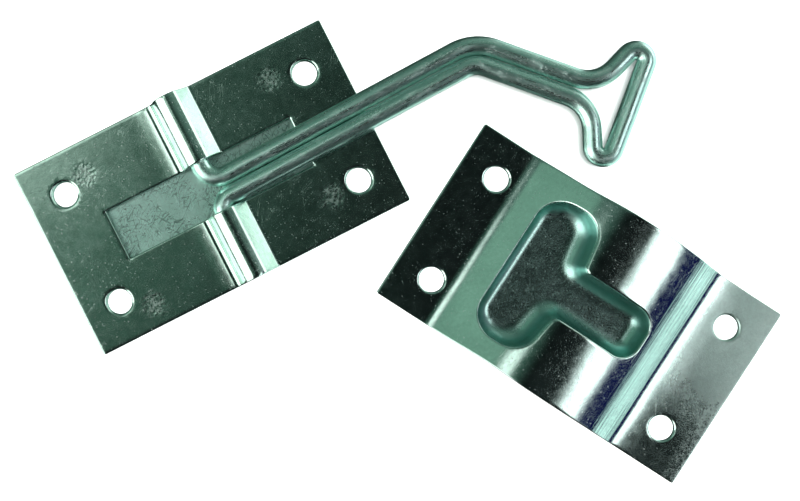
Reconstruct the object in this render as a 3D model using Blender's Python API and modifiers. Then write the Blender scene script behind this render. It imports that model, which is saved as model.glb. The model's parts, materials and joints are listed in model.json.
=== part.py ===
"""T-hook door and gate holder: hook plate with a swinging wire arm, and its socket plate.

The origin is the middle of the hook plate's back face. +X runs along the hook plate to the arm,
+Y along the arm's hinge axis, +Z away from the mounting surface. Lengths are in metres.
"""
import math

import bmesh
import bpy
from mathutils import Matrix, Vector

MM = 0.001
FIT_GAP = 0.3 * MM             # clearance between pieces that touch on the real object

# Hook plate: a flat back sheet and a front sheet with a half-round barrel pressed up across it.
PLATE_LENGTH = 86.2 * MM
PLATE_WIDTH = 50.8 * MM
BACK_THICKNESS = 1.0 * MM
BACK_OFFSET = -0.4 * MM        # the back sheet sits a little off towards -X
FRONT_THICKNESS = 1.2 * MM
PLATE_CORNER = 0.6 * MM
HOOK_HOLES = (67.5 * MM, 30.2 * MM)
WINDOW_LENGTH = 51.8 * MM
WINDOW_WIDTH = 13.3 * MM
WINDOW_OFFSET = -0.6 * MM
WINDOW_CORNER = 0.8 * MM
STEEP_LEAN = math.radians(72.0)   # how far the barrel's side towards -X leans over
STEEP_FOOT_RADIUS = 2.4 * MM      # on the middle of the sheet
GENTLE_LEAN = math.radians(50.0)  # the side towards +X
GENTLE_FOOT_RADIUS = 1.5 * MM

# Screw holes, the same in every plate.
HOLE_DIAMETER = 6.3 * MM
HOLE_SIDES = 32

# Wire arm: one wire bent double, with its two ends splayed into the barrel.
WIRE_DIAMETER = 4.8 * MM
RUN_SPACING = 5.0 * MM         # between the two runs' centres
PIVOT_HALF_LENGTH = 23.0 * MM
PIVOT_BEND_HIGH = 4.6 * MM           # where the run nearer +Y turns onto the hinge axis
PIVOT_BEND_LOW = 3.4 * MM
ARM_REACH = 73.3 * MM          # from the hinge axis to the bend in the arm
ARM_BEND_ANGLE = math.radians(47.0)
ARM_TILT = math.radians(3.0)   # the arm rests on the end of the window
ARM_SLANT = math.radians(1.2)  # the doubled run is a little off square to the hinge axis
BEND_OUTER = 13.2 * MM
BEND_INNER = 6.5 * MM
HEAD_REACH = 40.5 * MM         # from the bend to the crossbar of the T
HEAD_HALF_WIDTH = 16.2 * MM    # from the middle to the outside of the crossbar's end
HEAD_FLARE_ANGLE = math.radians(67.0)
HEAD_FLARE_RADIUS = 9.0 * MM
HEAD_HAIRPIN = 2.65 * MM

# Socket plate: one sheet with an arch across it and a T-shaped pocket drawn down into the arch.
SOCKET_CENTRE = (69.2 * MM, -68.0 * MM, 0.0)
SOCKET_TURN = math.radians(-59.8)
SOCKET_LENGTH = 88.9 * MM
SOCKET_WIDTH = 50.8 * MM
SOCKET_THICKNESS = 1.2 * MM
SOCKET_HOLES = (69.0 * MM, 30.2 * MM)
ARCH_POINTS = (                # place along the plate, height of the top face, slope
    (-30.6 * MM, 1.2 * MM, 0.0),
    (-26.6 * MM, 2.1 * MM, 0.40),
    (-12.0 * MM, 8.3 * MM, 0.40),
    (-1.0 * MM, 10.6 * MM, 0.0),
    (3.3 * MM, 10.45 * MM, -0.06),
    (14.2 * MM, 8.05 * MM, -0.35),
    (17.5 * MM, 6.75 * MM, -0.43),
    (21.5 * MM, 4.47 * MM, -0.68),
    (24.6 * MM, 2.47 * MM, -0.56),
    (25.1 * MM, 2.24 * MM, -0.36),
    (28.4 * MM, 1.47 * MM, -0.12),
    (33.5 * MM, 1.2 * MM, 0.0),
)
ARCH_STEP = 1.8 * MM
POCKET_BACK = -21.6 * MM       # the crossbar's straight side
POCKET_FRONT = -7.0 * MM
POCKET_STEM_ROOT = -4.9 * MM
POCKET_STEM_END = 17.3 * MM
POCKET_HALF_SPAN = 19.6 * MM
POCKET_HALF_STEM = 6.7 * MM
POCKET_LOBE_RADIUS = 7.25 * MM
POCKET_ROOT_RADIUS = 1.8 * MM
POCKET_END_RADIUS = 5.0 * MM
POCKET_WALL = 1.2 * MM
POCKET_FLOOR = 1.2 * MM

ZINC = (0.42, 0.50, 0.47, 1.0)
DARK_ZINC = (0.30, 0.37, 0.34, 1.0)
PALE_ZINC = (0.50, 0.58, 0.56, 1.0)


def clear_scene():
    for item in list(bpy.data.objects):
        bpy.data.objects.remove(item, do_unlink=True)


def new_collection(name):
    collection = bpy.data.collections.new(name)
    bpy.context.scene.collection.children.link(collection)
    return collection


def metal(name, colour, roughness):
    material = bpy.data.materials.new(name)
    material.use_nodes = True
    shader = material.node_tree.nodes["Principled BSDF"]
    shader.inputs["Base Color"].default_value = colour
    shader.inputs["Metallic"].default_value = 1.0
    shader.inputs["Roughness"].default_value = roughness
    material.diffuse_color = colour
    return material


def arc(centre, radius, start, end, steps):
    """Points on a circle from one angle to another, both ends included."""
    angles = [start + (end - start) * step / steps for step in range(steps + 1)]
    return [(centre[0] + radius * math.cos(a), centre[1] + radius * math.sin(a)) for a in angles]


def fillet(before, corner, after, radius, step_angle):
    """The round corner between two straight lines that meet in a plane."""
    corner = Vector(corner)
    towards_before = (Vector(before) - corner).normalized()
    towards_after = (Vector(after) - corner).normalized()
    half_angle = towards_before.angle(towards_after) / 2
    centre = corner + (towards_before + towards_after).normalized() * radius / math.sin(half_angle)
    tangent = radius / math.tan(half_angle)
    first = corner + towards_before * tangent - centre
    last = corner + towards_after * tangent - centre
    turn = first.angle_signed(last)
    steps = max(2, round(abs(turn) / step_angle))
    start = math.atan2(first.y, first.x)
    return arc(centre, radius, start, start - turn, steps)


def rounded_path(corners, closed, step_angle=math.radians(15)):
    """A path through (x, y, radius) corners, with each corner rounded to its radius."""
    path = []
    count = len(corners)
    for index, (x, y, radius) in enumerate(corners):
        at_end = not closed and index in (0, count - 1)
        if at_end or radius == 0:
            path.append((x, y))
            continue
        before = corners[index - 1][:2]
        after = corners[(index + 1) % count][:2]
        path.extend(fillet(before, (x, y), after, radius, step_angle))
    return path


def rectangle(length, width, radius, offset=0.0):
    half_length = length / 2
    half_width = width / 2
    corners = [
        (offset - half_length, -half_width, radius),
        (offset + half_length, -half_width, radius),
        (offset + half_length, half_width, radius),
        (offset - half_length, half_width, radius),
    ]
    return rounded_path(corners, closed=True, step_angle=math.radians(30))


def curve_object(name, points, collection, cyclic, dimensions):
    curve = bpy.data.curves.new(name, "CURVE")
    curve.dimensions = dimensions
    spline = curve.splines.new("POLY")
    spline.points.add(len(points) - 1)
    for point, place in zip(spline.points, points):
        point.co = (*place, 0.0, 1.0) if len(place) == 2 else (*place, 1.0)
    spline.use_cyclic_u = cyclic
    item = bpy.data.objects.new(name, curve)
    collection.objects.link(item)
    return item


def as_mesh(item, collection):
    """Replace a curve with its mesh, with the caps joined to the sides."""
    depsgraph = bpy.context.evaluated_depsgraph_get()
    depsgraph.update()
    mesh = bpy.data.meshes.new_from_object(item.evaluated_get(depsgraph))
    bm = bmesh.new()
    bm.from_mesh(mesh)
    bmesh.ops.remove_doubles(bm, verts=bm.verts, dist=0.001 * MM)
    bmesh.ops.recalc_face_normals(bm, faces=bm.faces)
    bm.to_mesh(mesh)
    bm.free()
    name = item.name
    matrix = item.matrix_world.copy()
    bpy.data.objects.remove(item, do_unlink=True)
    result = bpy.data.objects.new(name, mesh)
    collection.objects.link(result)
    result.matrix_world = matrix
    return result


def slab(name, outline, low, high, collection):
    """A flat outline extruded between two heights."""
    item = curve_object(name, outline, collection, cyclic=True, dimensions="2D")
    item.data.fill_mode = "BOTH"
    item.data.extrude = (high - low) / 2
    item.location.z = (low + high) / 2
    bpy.context.view_layer.update()
    return as_mesh(item, collection)


def side_slab(name, outline, width, collection):
    """An outline in the XZ plane extruded along Y, centred on Y = 0."""
    item = curve_object(name, outline, collection, cyclic=True, dimensions="2D")
    item.data.fill_mode = "BOTH"
    item.data.extrude = width / 2
    item.rotation_euler.x = math.pi / 2
    bpy.context.view_layer.update()
    return as_mesh(item, collection)


def hole_cutter(name, spacing, collection):
    """Four round cutters on a rectangular pattern."""
    bm = bmesh.new()
    for side_x in (-1, 1):
        for side_y in (-1, 1):
            place = Matrix.Translation((side_x * spacing[0] / 2, side_y * spacing[1] / 2, 0.0))
            bmesh.ops.create_cone(
                bm, cap_ends=True, segments=HOLE_SIDES, radius1=HOLE_DIAMETER / 2,
                radius2=HOLE_DIAMETER / 2, depth=20 * MM, matrix=place)
    mesh = bpy.data.meshes.new(name)
    bm.to_mesh(mesh)
    bm.free()
    item = bpy.data.objects.new(name, mesh)
    collection.objects.link(item)
    return item


def as_cutter(item):
    item.hide_render = True
    item.display_type = "WIRE"
    return item


def cut(item, cutter):
    modifier = item.modifiers.new("cut " + cutter.name, "BOOLEAN")
    modifier.operation = "DIFFERENCE"
    modifier.solver = "EXACT"
    modifier.object = as_cutter(cutter)


def finish(item, material, smooth_angle=math.radians(30)):
    item.data.materials.clear()
    item.data.materials.append(material)
    if item.type == "MESH":
        item.data.shade_smooth()
        item.data.set_sharp_from_angle(angle=smooth_angle)


def half_barrel(lean, foot_radius, sheet_level, steps=8):
    """Half of the barrel from its top down to the flat, on the sheet's middle line."""
    radius = WIRE_DIAMETER / 2 + FIT_GAP + FRONT_THICKNESS / 2
    crown = arc((0.0, wire_axis_height()), radius, math.pi / 2, math.pi / 2 - lean, steps)
    foot_start = sheet_level + foot_radius * (1 - math.cos(lean))
    straight = (crown[-1][1] - foot_start) / math.tan(lean)
    foot_x = crown[-1][0] + straight + foot_radius * math.sin(lean)
    foot_centre = (foot_x, sheet_level + foot_radius)
    return crown + arc(foot_centre, foot_radius, -math.pi / 2 - lean, -math.pi / 2, steps // 2)


def barrel_profile():
    """The middle line of the front sheet: flat, up over the barrel, and flat again."""
    level = BACK_THICKNESS + FIT_GAP + FRONT_THICKNESS / 2
    steep = [(-x, z) for x, z in reversed(half_barrel(STEEP_LEAN, STEEP_FOOT_RADIUS, level))]
    gentle = half_barrel(GENTLE_LEAN, GENTLE_FOOT_RADIUS, level)
    return [(-PLATE_LENGTH / 2, level)] + steep + gentle[1:] + [(PLATE_LENGTH / 2, level)]


def wire_axis_height():
    return BACK_THICKNESS + FIT_GAP + WIRE_DIAMETER / 2


def sheet_from_profile(name, profile, width, thickness, collection):
    """A bent sheet: a profile swept along Y and given its thickness."""
    bm = bmesh.new()
    verts = [bm.verts.new((x, -width / 2, z)) for x, z in profile]
    edges = [bm.edges.new(pair) for pair in zip(verts, verts[1:])]
    swept = bmesh.ops.extrude_edge_only(bm, edges=edges)
    moved = [part for part in swept["geom"] if isinstance(part, bmesh.types.BMVert)]
    bmesh.ops.translate(bm, verts=moved, vec=(0.0, width, 0.0))
    bmesh.ops.recalc_face_normals(bm, faces=bm.faces)
    mesh = bpy.data.meshes.new(name)
    bm.to_mesh(mesh)
    bm.free()
    item = bpy.data.objects.new(name, mesh)
    collection.objects.link(item)
    modifier = item.modifiers.new("sheet thickness", "SOLIDIFY")
    modifier.thickness = thickness
    modifier.offset = 0.0
    modifier.use_even_offset = True
    return item


def build_back_plate(parts, cutters):
    outline = rectangle(PLATE_LENGTH, PLATE_WIDTH, PLATE_CORNER, BACK_OFFSET)
    plate = slab("hook_back_plate", outline, 0.0, BACK_THICKNESS, parts)
    cut(plate, hole_cutter("back_plate_holes", HOOK_HOLES, cutters))
    finish(plate, metal("back plate zinc", PALE_ZINC, 0.38))
    return plate


def build_front_plate(parts, cutters):
    plate = sheet_from_profile(
        "hook_front_plate", barrel_profile(), PLATE_WIDTH, FRONT_THICKNESS, parts)
    outline = rectangle(WINDOW_LENGTH, WINDOW_WIDTH, WINDOW_CORNER, WINDOW_OFFSET)
    cut(plate, slab("window_cutter", outline, 0.0, 12 * MM, cutters))
    cut(plate, hole_cutter("front_plate_holes", HOOK_HOLES, cutters))
    finish(plate, metal("front plate zinc", DARK_ZINC, 0.32))
    return plate


def arm_corners():
    """Corners of the wire's middle line in the arm's own plane, from one end to the other."""
    half_run = RUN_SPACING / 2
    bend = Vector((ARM_REACH, 0.0))
    along = Vector((math.cos(ARM_BEND_ANGLE), -math.sin(ARM_BEND_ANGLE)))
    across = Vector((-along.y, along.x))
    miter = half_run * math.tan(ARM_BEND_ANGLE / 2)
    pivot_shift = ARM_REACH * math.tan(ARM_SLANT)
    tip_centre = HEAD_HALF_WIDTH - WIRE_DIAMETER / 2 - HEAD_HAIRPIN
    hairpin_start = (
        HEAD_REACH - HEAD_HAIRPIN - HEAD_HAIRPIN * math.sin(HEAD_FLARE_ANGLE),
        tip_centre + HEAD_HAIRPIN * math.cos(HEAD_FLARE_ANGLE))
    slope = math.tan(HEAD_FLARE_ANGLE)
    flare = hairpin_start[0] - (hairpin_start[1] - half_run) / slope
    tip = hairpin_start[1] + (HEAD_REACH - hairpin_start[0]) * slope

    def head_point(forward, sideways, radius):
        place = bend + along * forward + across * sideways
        return (place.x, place.y, radius)

    def one_side(side, pivot_bend, bend_radius):
        return [
            (0.0, side * PIVOT_HALF_LENGTH, 0.0),
            (0.0, side * half_run - pivot_shift, pivot_bend),
            (ARM_REACH + side * miter, side * half_run, bend_radius),
            head_point(flare, side * half_run, HEAD_FLARE_RADIUS),
            head_point(HEAD_REACH, side * tip, HEAD_HAIRPIN),
        ]

    high_run = one_side(1, PIVOT_BEND_HIGH, BEND_OUTER)
    low_run = one_side(-1, PIVOT_BEND_LOW, BEND_INNER)
    return high_run + low_run[::-1]


def build_wire_arm(parts):
    pivot = bpy.data.objects.new("arm_pivot", None)
    parts.objects.link(pivot)
    pivot.location.z = wire_axis_height()
    pivot.rotation_euler.y = -ARM_TILT
    path = rounded_path(arm_corners(), closed=False)
    arm = curve_object("wire_arm", [(x, y, 0.0) for x, y in path], parts, False, "3D")
    arm.data.bevel_depth = WIRE_DIAMETER / 2
    arm.data.bevel_resolution = 4
    arm.data.use_fill_caps = True
    arm.parent = pivot
    finish(arm, metal("wire zinc", ZINC, 0.28))
    return arm


def hermite(start, end, start_slope, end_slope, steps):
    """A smooth curve between two (x, z) points with the given slopes, first point left out."""
    span = end[0] - start[0]
    points = []
    for step in range(1, steps + 1):
        t = step / steps
        rise = (
            (2 * t ** 3 - 3 * t ** 2 + 1) * start[1] + (t ** 3 - 2 * t ** 2 + t) * span * start_slope
            + (3 * t ** 2 - 2 * t ** 3) * end[1] + (t ** 3 - t ** 2) * span * end_slope)
        points.append((start[0] + span * t, rise))
    return points


def arch_profile():
    """The top of the socket plate along its length: a long ramp up and a steep step down."""
    profile = [(-SOCKET_LENGTH / 2, SOCKET_THICKNESS), ARCH_POINTS[0][:2]]
    for (x0, z0, slope0), (x1, z1, slope1) in zip(ARCH_POINTS, ARCH_POINTS[1:]):
        steps = max(1, round((x1 - x0) / ARCH_STEP))
        profile += hermite((x0, z0), (x1, z1), slope0, slope1, steps)
    return profile + [(SOCKET_LENGTH / 2, SOCKET_THICKNESS)]


def offset_profile(profile, distance):
    """A line below an open profile, at the same distance all along."""
    points = [Vector(point) for point in profile]
    result = []
    for index, point in enumerate(points):
        before = points[max(index - 1, 0)]
        after = points[min(index + 1, len(points) - 1)]
        along = (after - before).normalized()
        result.append((point.x + along.y * distance, point.y - along.x * distance))
    return result


def pocket_outline(grow=0.0):
    """The T of the pocket, grown outwards by the given distance."""
    back = POCKET_BACK - grow
    front = POCKET_FRONT + grow
    root = POCKET_STEM_ROOT + grow
    end = POCKET_STEM_END + grow
    span = POCKET_HALF_SPAN + grow
    stem = POCKET_HALF_STEM + grow
    lobe = POCKET_LOBE_RADIUS + grow
    half = [
        (end, stem, POCKET_END_RADIUS + grow),
        (root, stem, POCKET_ROOT_RADIUS - grow),
        (front, span, lobe * 0.99),
        (back, span, lobe * 0.99),
    ]
    mirrored = [(x, -y, radius) for x, y, radius in reversed(half)]
    return rounded_path(half + mirrored, closed=True)


def build_socket_plate(parts, cutters):
    """An arched sheet, hollow underneath, with the pocket's walls and floor left standing."""
    top = arch_profile()
    body = [(-SOCKET_LENGTH / 2, 0.0)] + top + [(SOCKET_LENGTH / 2, 0.0)]
    plate = side_slab("socket_plate", body, SOCKET_WIDTH, parts)

    arch_only = top[1:-1]
    under = [point for point in offset_profile(arch_only, SOCKET_THICKNESS) if point[1] > 0.02 * MM]
    below = -2 * MM
    under = [(under[0][0], below)] + under + [(under[-1][0], below)]
    hollow = side_slab("arch_hollow", under, SOCKET_WIDTH + 4 * MM, cutters)
    tray = slab("pocket_tray", pocket_outline(POCKET_WALL), -5 * MM, 20 * MM, cutters)
    cut(hollow, tray)
    cut(plate, hollow)
    pocket = slab("pocket_cutter", pocket_outline(), POCKET_FLOOR, 20 * MM, cutters)
    cut(plate, pocket)
    holes = hole_cutter("socket_plate_holes", SOCKET_HOLES, cutters)
    cut(plate, holes)

    middle = bpy.data.objects.new("socket_middle", None)
    parts.objects.link(middle)
    middle.location = SOCKET_CENTRE
    middle.rotation_euler.z = SOCKET_TURN
    for item in (plate, hollow, tray, pocket, holes):
        item.parent = middle
    finish(plate, metal("socket plate zinc", DARK_ZINC, 0.30))
    return plate


def main():
    clear_scene()
    parts = new_collection("t_hook_gate_holder")
    cutters = new_collection("cutters")
    build_back_plate(parts, cutters)
    build_front_plate(parts, cutters)
    build_wire_arm(parts)
    build_socket_plate(parts, cutters)


main()
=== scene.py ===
import json
import math

import bmesh
import bpy
from mathutils import Matrix, Vector, noise
from mathutils.geometry import delaunay_2d_cdt


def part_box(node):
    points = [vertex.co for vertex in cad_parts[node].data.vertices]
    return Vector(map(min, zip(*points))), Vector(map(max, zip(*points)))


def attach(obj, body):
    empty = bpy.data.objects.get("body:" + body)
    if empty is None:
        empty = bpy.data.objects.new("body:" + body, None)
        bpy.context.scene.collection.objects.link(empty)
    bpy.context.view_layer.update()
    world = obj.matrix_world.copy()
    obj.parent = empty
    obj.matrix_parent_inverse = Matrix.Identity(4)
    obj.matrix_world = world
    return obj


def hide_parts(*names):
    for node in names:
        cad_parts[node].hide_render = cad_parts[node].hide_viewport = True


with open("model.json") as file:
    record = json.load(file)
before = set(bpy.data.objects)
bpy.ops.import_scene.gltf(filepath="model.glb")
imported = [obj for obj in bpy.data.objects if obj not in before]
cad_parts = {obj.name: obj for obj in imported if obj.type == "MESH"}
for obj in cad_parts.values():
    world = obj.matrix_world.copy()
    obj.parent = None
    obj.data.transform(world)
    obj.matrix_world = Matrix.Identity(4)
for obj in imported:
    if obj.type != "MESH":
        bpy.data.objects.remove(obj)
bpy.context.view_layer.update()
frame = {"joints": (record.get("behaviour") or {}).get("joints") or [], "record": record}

# Everything is modelled in millimetres and scaled to metres as the mesh is made.
MM = 0.001

# ---------------- places read from the frame
MOUNTS = {mount["name"]: mount for mount in frame["record"]["mounts"]}
JOINTS = {joint["name"]: joint for joint in frame["joints"]}
SOCKET_CENTRE = Vector(MOUNTS["socket_plate_back"]["pos_m"]) / MM
SOCKET_ALONG = Vector(MOUNTS["socket_screw_face"]["pos_m"]) / MM - SOCKET_CENTRE
SOCKET_TURN = math.atan2(SOCKET_ALONG.y, SOCKET_ALONG.x)
HINGE = Vector(JOINTS["arm_swing"]["pos_m"]) / MM
FRONT_LOW, FRONT_HIGH = (Vector(corner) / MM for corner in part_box("hook_front_plate"))
BACK_LOW, BACK_HIGH = (Vector(corner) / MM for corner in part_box("hook_back_plate"))

# ---------------- sizes shared with the CAD part
HOLE_RADIUS = 3.15
HOOK_HOLES = (67.5, 30.2)
WINDOW = (-26.5, 25.3, 6.65)  # its two ends and its half width
FRONT_THICKNESS = 1.2
CROWN_RADIUS = 3.3
BARREL_LEANS = (math.radians(72.0), math.radians(50.0))
BARREL_FEET = (2.4, 1.5)
WIRE_RADIUS = 2.40
RUN_SPACING = 4.92
PIVOT_HALF_LENGTH = 23.0
PIVOT_BEND_HIGH = 4.6
PIVOT_BEND_LOW = 3.4
ARM_REACH = 73.3
ARM_BEND_ANGLE = math.radians(47.0)
ARM_TILT = math.radians(3.0)
ARM_SLANT = math.radians(1.2)
BEND_OUTER = 12.6
BEND_INNER = 6.5
HEAD_REACH = 40.5
HEAD_HALF_WIDTH = 16.2
HEAD_FLARE_ANGLE = math.radians(67.0)
HEAD_FLARE_RADIUS = 9.0
HEAD_HAIRPIN = 2.62
SOCKET_SIZE = (88.9, 50.8)
SOCKET_HOLES = (69.0, 30.2)
SOCKET_THICKNESS = 1.2
SHEET_CORNER = 0.6
WINDOW_CORNER = 0.8
POCKET_FLOOR = 1.2
ARCH_POINTS = (  # along the plate, height, slope
    (-30.6, 1.2, 0.0),
    (-26.6, 2.1, 0.40),
    (-12.0, 8.3, 0.40),
    (-1.0, 10.6, 0.0),
    (3.3, 10.45, -0.06),
    (14.2, 8.05, -0.35),
    (17.5, 6.75, -0.43),
    (21.5, 4.47, -0.68),
    (24.6, 2.47, -0.56),
    (25.1, 2.24, -0.36),
    (28.4, 1.47, -0.12),
    (33.5, 1.2, 0.0),
)

# ---------------- sizes that only the looks have
EDGE_ROLL = 0.28  # radii of the rolled edges
HOLE_ROLL = 0.62
WINDOW_ROLL = 0.34
ROLL_STEPS = 5
HOLE_SIDES = 56
OUTLINE_PITCH = 0.4
CLEAR = 0.2  # between a rolled edge and the loose points beside it
WINDOW_CLEAR = 0.15
FLAT_STEP = 0.9  # between loose points where the sheet is flat
BARREL_STEP = 0.2
BACK_STEP = 1.1
SOCKET_STEP = 0.8
FOOT_LIFT = 0.34  # how high and how far the sheet swells at the barrel's steep foot
FOOT_REACH = 3.8
WELDS = ((-27.0, 17.3), (-26.2, -19.6), (25.0, 17.6), (26.0, -15.6))
WELD_RADIUS = 3.3
WELD_EDGE = 1.15  # in weld radii
WELD_GRAIN = 0.03
WELD_DISH = 0.03
FRONT_WAVES = ((11.0, 0.02, 3.0), (4.0, 0.006, 8.0))  # size, amount and seed of each wave
BACK_WAVES = ((9.0, 0.012, 15.0),)
BACK_SINK = 0.012  # keeps the waves below the CAD's face
SOCKET_WAVES = ((10.0, 0.03, 21.0), (3.5, 0.006, 5.0))
POCKET_WAVES = ((6.0, 0.03, 2.0),)
POCKET_DRAFT = math.radians(5.0)
POCKET_RIM_RADIUS = 0.5
POCKET_FOOT_RADIUS = 4.0
POCKET_UNDER_RIM_RADIUS = 0.2
POCKET_UNDER_FOOT_RADIUS = 4.9
SECTION_STEPS = 8
ARCH_GRID = ((-31.5, 24.0, 0.34), (24.0, 26.0, 0.1), (26.0, 34.0, 0.4))  # stretches and their steps
PULL = (0.45, -13.0, 9.0)  # how far the socket's long edges are drawn in, where, and over what length
WIRE_SIDES = 36
WIRE_PITCH = 0.5
WIRE_END_SHRINK = 0.86


# ---------------- outlines
def clamp(value):
    return min(1.0, max(0.0, value))


def path_length(points):
    return sum((b - a).length for a, b in zip(points, points[1:]))


def arc(centre, radius, start, end, steps):
    angles = [start + (end - start) * step / steps for step in range(steps + 1)]
    return [Vector((centre[0] + radius * math.cos(a), centre[1] + radius * math.sin(a))) for a in angles]


def fillet(before, corner, after, radius, steps):
    """The round corner between two straight lines that meet in a plane."""
    corner = Vector(corner)
    back = (Vector(before) - corner).normalized()
    on = (Vector(after) - corner).normalized()
    half_angle = back.angle(on) / 2
    centre = corner + (back + on).normalized() * radius / math.sin(half_angle)
    tangent = radius / math.tan(half_angle)
    first = corner + back * tangent - centre
    last = corner + on * tangent - centre
    start = math.atan2(first.y, first.x)
    return arc(centre, radius, start, start - first.angle_signed(last), steps)


def spread(start, end, steps):
    """Points between two ends, the ends left out."""
    return [start.lerp(end, step / steps) for step in range(1, steps)]


def loop_plan(corners, pitch):
    """How many steps each round corner and each straight side of a closed outline gets."""
    arcs = [fillets_of(corners, index, 4) for index in range(len(corners))]
    plan = []
    for index, points in enumerate(arcs):
        bend = path_length(points)
        side = (arcs[(index + 1) % len(arcs)][0] - points[-1]).length
        plan.append((max(5, math.ceil(bend / pitch)), max(1, math.ceil(side / pitch))))
    return plan


def fillets_of(corners, index, steps):
    x, y, radius = corners[index]
    before = corners[index - 1][:2]
    after = corners[(index + 1) % len(corners)][:2]
    return fillet(before, (x, y), after, radius, steps)


def closed_loop(corners, plan):
    """A closed outline with round corners, with the same number of points whatever its size."""
    arcs = [fillets_of(corners, index, plan[index][0]) for index in range(len(corners))]
    points = []
    for index, bend in enumerate(arcs):
        points += bend
        points += spread(bend[-1], arcs[(index + 1) % len(arcs)][0], plan[index][1])
    return points


def circle(centre, radius):
    return arc(centre, radius, 0.0, math.tau * (HOLE_SIDES - 1) / HOLE_SIDES, HOLE_SIDES - 1)


def hole_centres(spacing, along=lambda x: x):
    return [Vector((along(sx * spacing[0] / 2), sy * spacing[1] / 2)) for sx in (-1, 1) for sy in (-1, 1)]


def hole_gap(p, holes):
    """From a point to the nearest hole's edge, negative inside the hole."""
    return min((p - centre).length for centre in holes) - HOLE_RADIUS


def in_hole(p, holes):
    """Whether a triangle's middle is in a hole, whose sides are chords a little inside the circle."""
    return hole_gap(p, holes) <= -0.002 * HOLE_RADIUS


# ---------------- sheet metal
def roll_depth(distance, radius):
    """How far a rolled edge drops at a distance from the edge."""
    if distance >= radius:
        return 0.0
    return radius - math.sqrt(max(radius ** 2 - (radius - distance) ** 2, 0.0))


def roll_steps(radius):
    """Distances from the edge that give even steps round its rolled corner."""
    return [radius * (1 - math.sin(math.pi / 2 * step / ROLL_STEPS)) for step in reversed(range(ROLL_STEPS))]


def triangulate(loops, loose, keep):
    """Triangles between closed loops. Returns points, faces and where each loop's points went."""
    points = []
    edges = []
    spans = []
    for loop in loops:
        base = len(points)
        count = len(loop)
        points += loop
        edges += [(base + i, base + (i + 1) % count) for i in range(count)]
        spans.append(range(base, base + count))
    points += loose
    out, _, faces, origins, _, _ = delaunay_2d_cdt(points, edges, [], 0, 1e-5)
    place = {source: index for index, sources in enumerate(origins) for source in sources}
    kept = []
    for face in faces:
        middle = sum((out[i] for i in face), Vector((0.0, 0.0))) / len(face)
        if keep(middle):
            kept.append(tuple(face))
    return out, kept, [[place[i] for i in span] for span in spans]


def add_surface(bm, points, faces, flip):
    verts = [bm.verts.new(point) for point in points]
    for face in faces:
        corners = [verts[i] for i in face]
        if flip:
            corners.reverse()
        bm.faces.new(corners)
    return verts


def bridge(bm, first, second):
    """A closed band of quads between two loops of the same length."""
    count = len(first)
    for i in range(count):
        j = (i + 1) % count
        bm.faces.new((first[i], first[j], second[j], second[i]))


def close_edges(bm, upper, lower, spans):
    """Joins the upper and lower faces along each loop of their shared outline."""
    for span in spans:
        bridge(bm, [upper[i] for i in span], [lower[i] for i in span])


def new_object(name, data):
    made = bpy.data.objects.new(name, data)
    bpy.context.scene.collection.objects.link(made)
    return made


def finish_mesh(name, bm, sharp_angle=35.0, transform=None, **attributes):
    """Turns a bmesh in millimetres into an object; each attribute is a function of the place on it."""
    loose = [v for v in bm.verts if not v.link_faces]
    bmesh.ops.delete(bm, geom=loose, context="VERTS")
    for key, measure in attributes.items():
        layer = bm.verts.layers.float.new(key)
        for vert in bm.verts:
            vert[layer] = measure(vert.co)
    bmesh.ops.recalc_face_normals(bm, faces=bm.faces)
    bmesh.ops.transform(bm, matrix=Matrix.Scale(MM, 4) @ (transform or Matrix()), verts=bm.verts)
    mesh = bpy.data.meshes.new(name)
    bm.to_mesh(mesh)
    bm.free()
    mesh.shade_smooth()
    mesh.set_sharp_from_angle(angle=math.radians(sharp_angle))
    return new_object(name, mesh)


def unevenness(x, y, waves):
    """How far pressed sheet stands up at a place, in millimetres."""
    return sum(amount * noise.noise(Vector((x / size, y / size, seed))) for size, amount, seed in waves)


class Blank:
    """A box in the plane with round corners, whose outline's points are a pitch apart."""

    def __init__(self, low, high, half_y, corner, pitch):
        self.low, self.high, self.half_y, self.corner = low, high, half_y, corner
        self.middle = (low + high) / 2
        self.half = (high - low) / 2
        self.plan = loop_plan(self.corners(0.0), pitch)

    def corners(self, grow):
        x, y, radius = self.half + grow, self.half_y + grow, max(self.corner + grow, 0.05)
        left, right = self.middle - x, self.middle + x
        return [(left, -y, radius), (right, -y, radius), (right, y, radius), (left, y, radius)]

    def loop(self, grow=0.0):
        return closed_loop(self.corners(grow), self.plan)

    def inset(self, p):
        """How far inside the box's sides a point is."""
        return min(self.half - abs(p.x - self.middle), self.half_y - abs(p.y))

    def outside(self, p):
        """How far outside the box a point is, 0 inside it."""
        return math.hypot(
            max(abs(p.x - self.middle) - self.half, 0.0), max(abs(p.y) - self.half_y, 0.0))


class Outline:
    """A closed outline that answers which points are inside it and how far away it is."""

    def __init__(self, outline):
        self.outline = outline
        self.cells = {}
        for point in outline:
            self.cells.setdefault(self.cell(point), []).append(point)

    @staticmethod
    def cell(p):
        return (math.floor(p.x), math.floor(p.y))

    def inside(self, p):
        odd = False
        previous = self.outline[-1]
        for current in self.outline:
            if (current.y > p.y) != (previous.y > p.y):
                cross = (previous.x - current.x) * (p.y - current.y) / (previous.y - current.y) + current.x
                if p.x < cross:
                    odd = not odd
            previous = current
        return odd

    def distance(self, p):
        """To the nearest point of the outline, and never more than 1."""
        cx, cy = self.cell(p)
        best = 1.0
        for x in (cx - 1, cx, cx + 1):
            for y in (cy - 1, cy, cy + 1):
                for point in self.cells.get((x, y), ()):
                    best = min(best, (point - p).length)
        return best


def grid_points(xs, ys, keep):
    return [point for point in (Vector((x, y)) for x in xs for y in ys) if keep(point)]


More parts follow.
